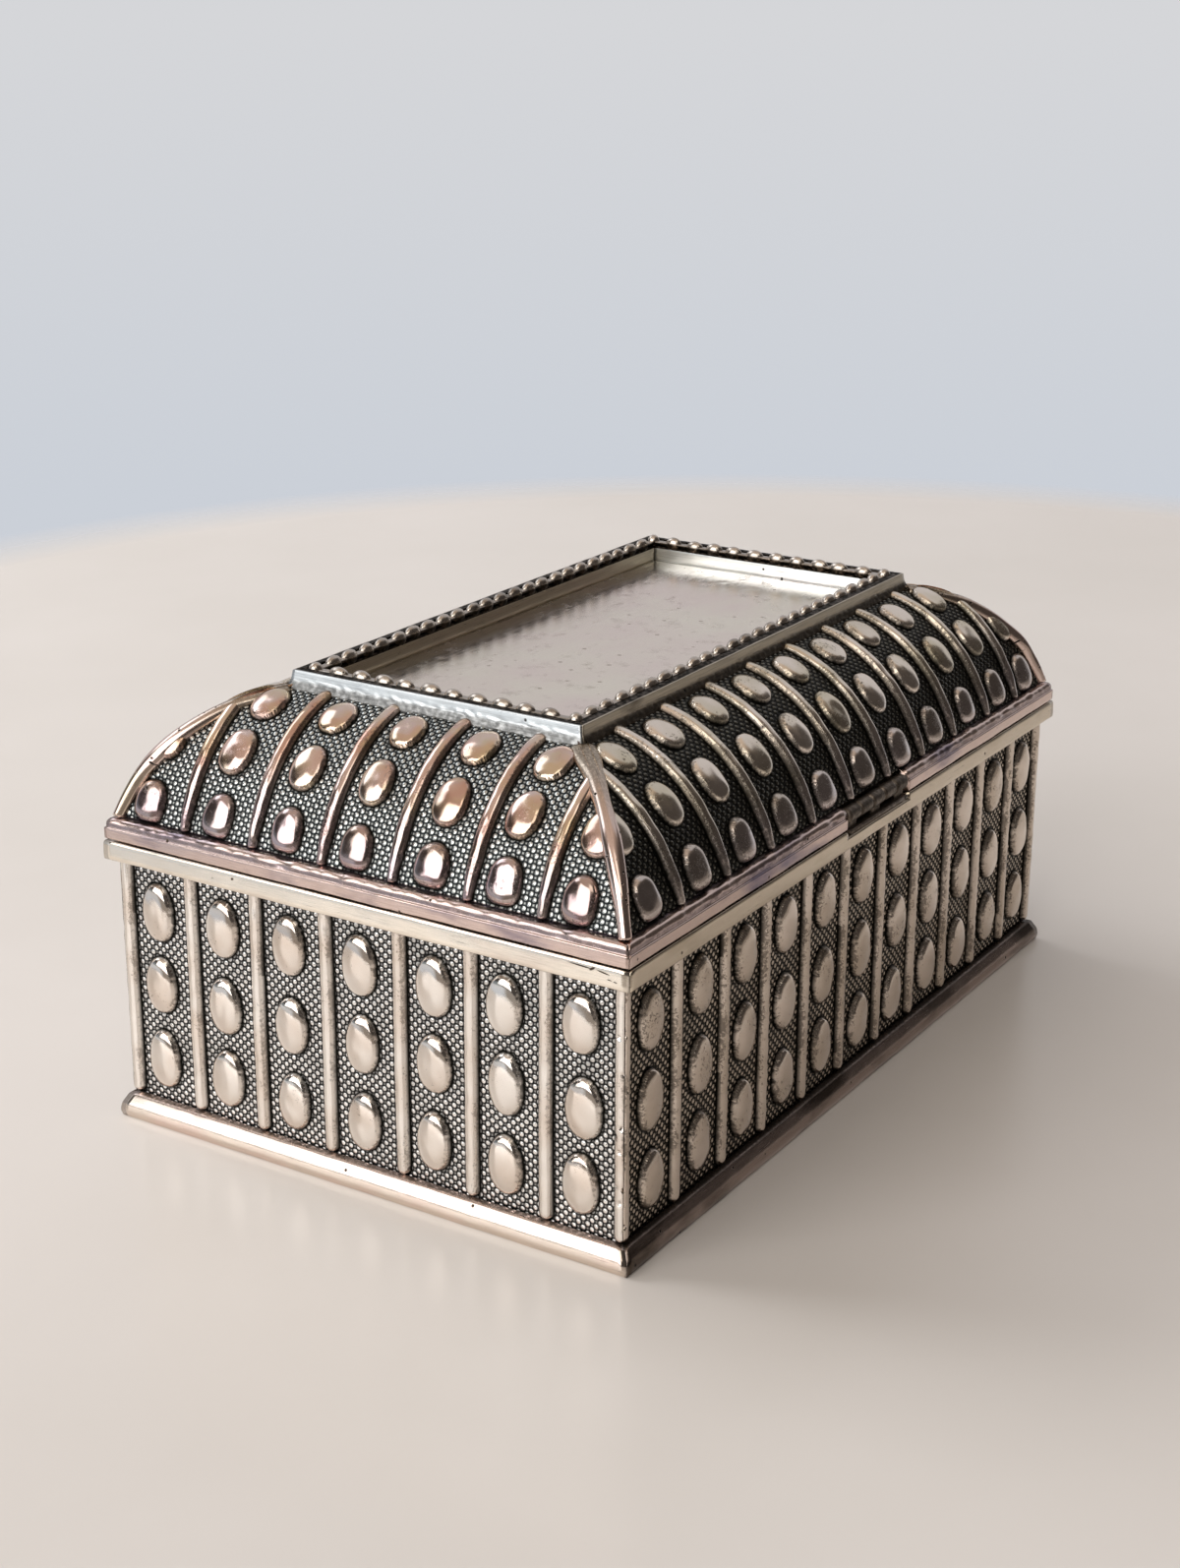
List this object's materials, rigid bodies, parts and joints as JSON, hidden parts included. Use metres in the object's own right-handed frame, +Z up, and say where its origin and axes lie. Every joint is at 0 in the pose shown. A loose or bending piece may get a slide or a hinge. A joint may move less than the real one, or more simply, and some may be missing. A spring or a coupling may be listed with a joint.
{
  "type": "trinket box",
  "caption": "Rectangular silver-plated trinket box with ribbed and bossed walls, a coved lid with a beaded top frame on a back hinge, and a velvet lining",
  "frame": {"origin": "middle of the base, on the surface that the box stands on", "axes": "+Z up, X along the long side, +Y towards the hinge side"},
  "size_m": [0.1272, 0.0816, 0.0629],
  "materials": {
    "silver_relief": "cast silver plate, blackened in the recesses and rubbed bright on ribs and bosses",
    "silver_polished": "plain silver plate with a warm, worn polish",
    "silver_tarnished": "silver plate with a warm pink tarnish",
    "velvet": "dark blue velvet on card",
    "felt": "dark green felt",
    "card": "grey card",
    "steel": "plain steel wire"
  },
  "bodies": {
    "body": {"back_wall": "silver_relief", "plinth_back": "silver_polished", "body_rim_back": "silver_polished", "back_liner": "velvet", "left_wall": "silver_relief", "plinth_left": "silver_polished", "body_rim_left": "silver_polished", "left_liner": "velvet", "front_wall": "silver_relief", "plinth_front": "silver_polished", "body_rim_front": "silver_polished", "front_liner": "velvet", "right_wall": "silver_relief", "plinth_right": "silver_polished", "body_rim_right": "silver_polished", "right_liner": "velvet", "base_felt": "felt", "floor_plate": "silver_polished", "floor_pad": "velvet", "body_hinge_leaf": "silver_tarnished", "hinge_pin": "steel"},
    "lid": {"lid_panel_back": "silver_relief", "lid_rim_back": "silver_tarnished", "top_frame_back": "silver_polished", "bead_strip_back": "silver_relief", "lid_panel_left": "silver_relief", "lid_rim_left": "silver_tarnished", "top_frame_left": "silver_polished", "bead_strip_left": "silver_relief", "lid_panel_front": "silver_relief", "lid_rim_front": "silver_tarnished", "top_frame_front": "silver_polished", "bead_strip_front": "silver_relief", "lid_panel_right": "silver_relief", "lid_rim_right": "silver_tarnished", "top_frame_right": "silver_polished", "bead_strip_right": "silver_relief", "hip_rib_back_right": "silver_tarnished", "hip_rib_back_left": "silver_tarnished", "hip_rib_front_left": "silver_tarnished", "hip_rib_front_right": "silver_tarnished", "top_plate": "silver_tarnished", "lid_board": "card", "lid_pad": "velvet", "lid_hinge_leaf": "silver_tarnished"}
  },
  "joints": [
    {"name": "lid_hinge", "type": "hinge", "parent": "body", "child": "lid", "pos_m": [-0.0019, 0.0397, 0.042], "axis": [-1, 0, 0], "range_deg": [0, 100]}
  ]
}
